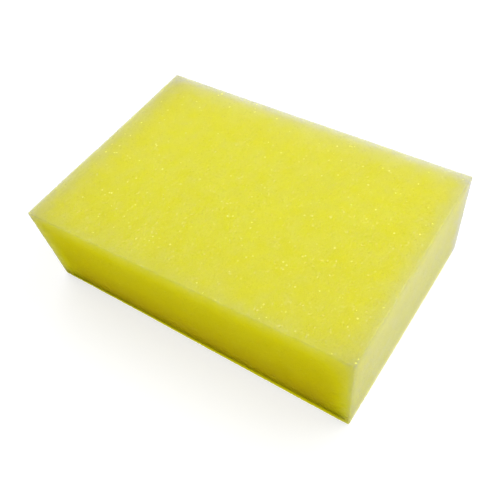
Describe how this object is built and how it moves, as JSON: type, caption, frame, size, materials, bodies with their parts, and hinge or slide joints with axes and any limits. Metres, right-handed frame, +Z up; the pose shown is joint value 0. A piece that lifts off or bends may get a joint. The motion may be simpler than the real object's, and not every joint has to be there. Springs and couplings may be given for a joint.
{
  "type": "foam sponge block",
  "caption": "Hand-held rectangular block of open-cell foam with sawn faces and barely rounded edges, for wetting, washing and wiping walls.",
  "frame": {"origin": "centre of the base, on the surface that the block lies on", "axes": "+X along the length, +Y along the width, +Z up through the thickness"},
  "size_m": [0.1812, 0.1242, 0.054],
  "materials": {
    "yellow_foam": "dry open-cell polyurethane foam, sawn, unpainted"
  },
  "bodies": {
    "root": {"foam_block": "yellow_foam"}
  },
  "joints": []
}
